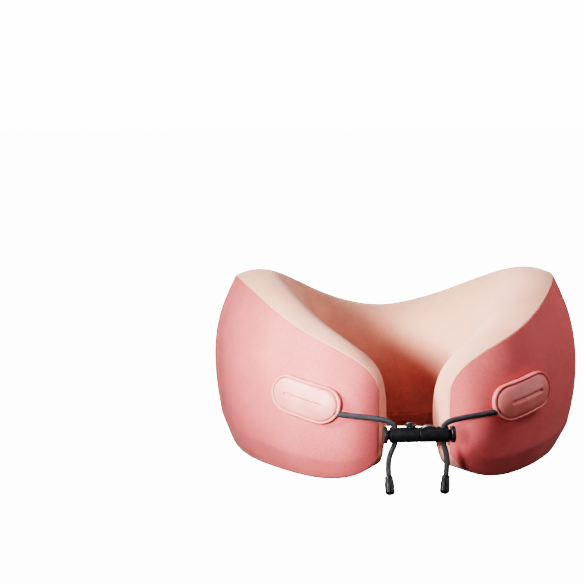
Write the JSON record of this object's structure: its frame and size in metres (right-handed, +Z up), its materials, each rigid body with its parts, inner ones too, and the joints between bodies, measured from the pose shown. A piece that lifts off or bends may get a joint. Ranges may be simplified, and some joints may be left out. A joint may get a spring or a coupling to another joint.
{
  "type": "neck pillow",
  "caption": "U-shaped travel neck pillow with raised sides, a two-tone zipped fabric cover over a foam core, front badges, and a cord lock across its opening.",
  "frame": {"origin": "on the surface that the pillow stands on, under the middle of its outline", "axes": "+Z up, the opening of the U towards -Y, +X to the wearer's left as they look out of the opening"},
  "size_m": [0.2798, 0.2883, 0.1378],
  "materials": {
    "foam": "matt open-cell foam",
    "cream_fabric": "soft matt knit",
    "rose_fabric": "soft matt knit",
    "cream_base_fabric": "soft matt knit",
    "badge_rubber": "satin",
    "cord_dark": "fine woven sheath",
    "tip_dark": "satin",
    "lock_plastic": "satin moulding",
    "spring_steel": "drawn wire",
    "zip_tape": "woven tape",
    "zip_coil": "moulded",
    "zip_metal": "satin paint",
    "label_white": "blank satin ribbon"
  },
  "bodies": {
    "pillow": {"foam_core": "foam", "cover_inner_panel": "cream_fabric", "cover_outer_panel": "rose_fabric", "cover_base_panel": "cream_base_fabric", "zipper_tape_upper": "zip_tape", "zipper_tape_lower": "zip_tape", "zipper_coil_upper": "zip_coil", "zipper_coil_lower": "zip_coil", "zipper_end_stops": "zip_metal", "care_label": "label_white", "lock_socket": "lock_plastic", "button_spring": "spring_steel", "badge_base_left": "badge_rubber", "badge_pill_left": "badge_rubber", "cord_left": "cord_dark", "cord_tip_left": "tip_dark", "plunger_spring_left": "spring_steel", "badge_base_right": "badge_rubber", "badge_pill_right": "badge_rubber"},
    "clasp_plug": {"lock_plug": "lock_plastic", "cord_right": "cord_dark", "cord_tip_right": "tip_dark", "plunger_spring_right": "spring_steel"},
    "left_plunger": {"plunger_left": "lock_plastic"},
    "right_plunger": {"plunger_right": "lock_plastic"},
    "release_button": {"release_button": "lock_plastic", "latch_plate": "lock_plastic"},
    "zipper_slider": {"zipper_slider": "zip_metal"},
    "zipper_pull": {"zipper_pull": "zip_metal"}
  },
  "joints": [
    {"name": "clasp_release", "type": "slide", "parent": "pillow", "child": "clasp_plug", "axis": [1, 0, 0], "range_m": [0, 0.01], "deforming": ["cord_right"]},
    {"name": "left_plunger_press", "type": "slide", "parent": "pillow", "child": "left_plunger", "axis": [1, 0, 0], "range_m": [0, 0.0017], "stiffness_N_per_m": 900, "springref_m": -0.001, "deforming": ["plunger_spring_left"]},
    {"name": "right_plunger_press", "type": "slide", "parent": "clasp_plug", "child": "right_plunger", "axis": [-1, 0, 0], "range_m": [0, 0.0017], "stiffness_N_per_m": 900, "springref_m": -0.001, "deforming": ["plunger_spring_right"]},
    {"name": "release_button_press", "type": "slide", "parent": "pillow", "child": "release_button", "axis": [0, 0, -1], "range_m": [0, 0.00065], "stiffness_N_per_m": 900, "springref_m": -0.0005, "deforming": ["button_spring"]},
    {"name": "zipper_travel", "type": "hinge", "parent": "pillow", "child": "zipper_slider", "pos_m": [0, -0.0309, 0.031], "axis": [0, 0, 1], "range_deg": [-54, 0]},
    {"name": "zipper_pull_swing", "type": "hinge", "parent": "zipper_slider", "child": "zipper_pull", "pos_m": [-0.07429, 0.1149, 0.0303], "axis": [-0.0761, 0.1493, 0.9859], "range_deg": [0, 160]}
  ]
}
